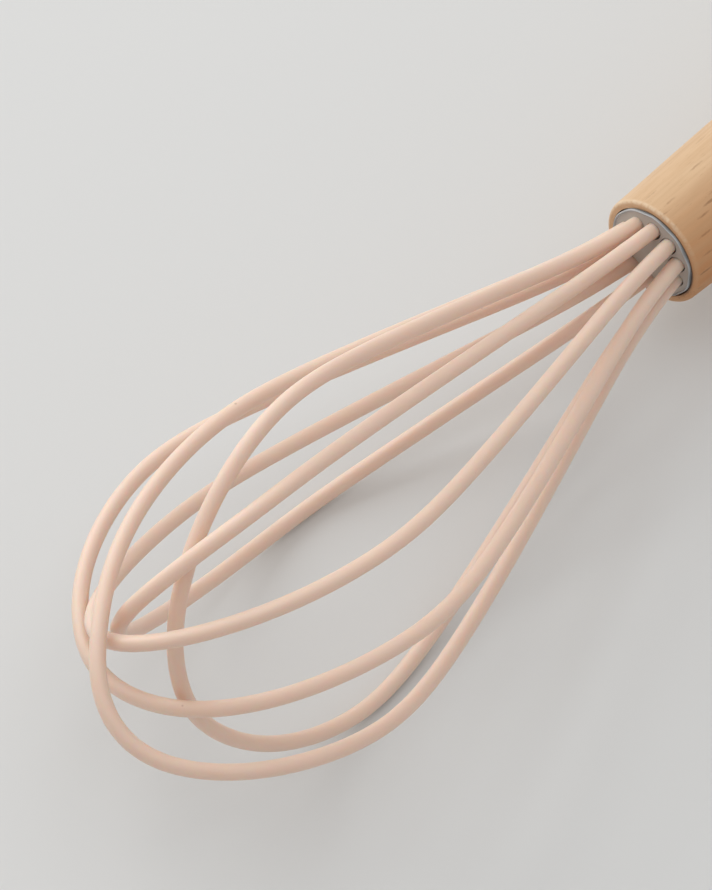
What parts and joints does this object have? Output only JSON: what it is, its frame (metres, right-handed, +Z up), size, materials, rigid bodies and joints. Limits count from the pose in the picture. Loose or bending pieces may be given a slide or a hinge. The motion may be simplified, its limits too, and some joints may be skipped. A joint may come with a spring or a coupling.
{
  "type": "balloon whisk",
  "caption": "Balloon whisk with a turned beech handle, a grey plug in its mouth and springy wire loops in matte blush silicone sleeves, lying on a table.",
  "frame": {"origin": "middle of the underside of the whole whisk, on the table that it lies on", "axes": "+X from the handle's butt towards the tip of the head, +Z up from the table, +Y to the left when looking along +X"},
  "size_m": [0.2722, 0.0676, 0.0676],
  "materials": {
    "beech": "fine sanded and oiled, with short dark flecks along the grain",
    "grey_plastic": "satin moulded",
    "resin": "cast in place",
    "silicone": "matte blush silicone",
    "spring_steel": "drawn wire"
  },
  "bodies": {
    "root": {"handle": "beech", "plug": "grey_plastic", "resin": "resin", "loop_1_sleeve": "silicone", "loop_2_sleeve": "silicone", "loop_3_sleeve": "silicone", "loop_4_sleeve": "silicone", "loop_5_sleeve": "silicone", "loop_1_core": "spring_steel", "loop_2_core": "spring_steel", "loop_3_core": "spring_steel", "loop_4_core": "spring_steel", "loop_5_core": "spring_steel"}
  },
  "joints": []
}
